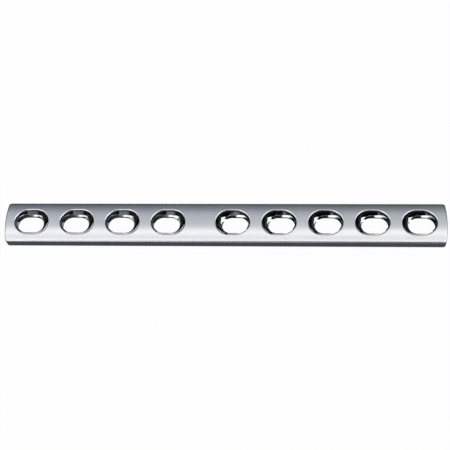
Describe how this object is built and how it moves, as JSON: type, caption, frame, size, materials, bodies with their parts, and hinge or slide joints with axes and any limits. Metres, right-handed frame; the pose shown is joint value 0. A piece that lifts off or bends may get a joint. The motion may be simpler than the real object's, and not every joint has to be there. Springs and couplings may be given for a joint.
{
  "type": "orthopedic bone plate",
  "caption": "Straight steel bone plate with a crowned top and oval screw holes, each with a sloped ball seat that pulls a fracture together.",
  "frame": {"origin": "middle of the underside, level with its two flat lands", "axes": "+X along the plate, towards the group of five holes; +Y across it; +Z out of the crowned top"},
  "size_m": [0.1148, 0.011, 0.0035],
  "materials": {
    "implant_steel": "fine satin top with polished screw seats"
  },
  "bodies": {
    "root": {"bone_plate": "implant_steel"}
  },
  "joints": []
}
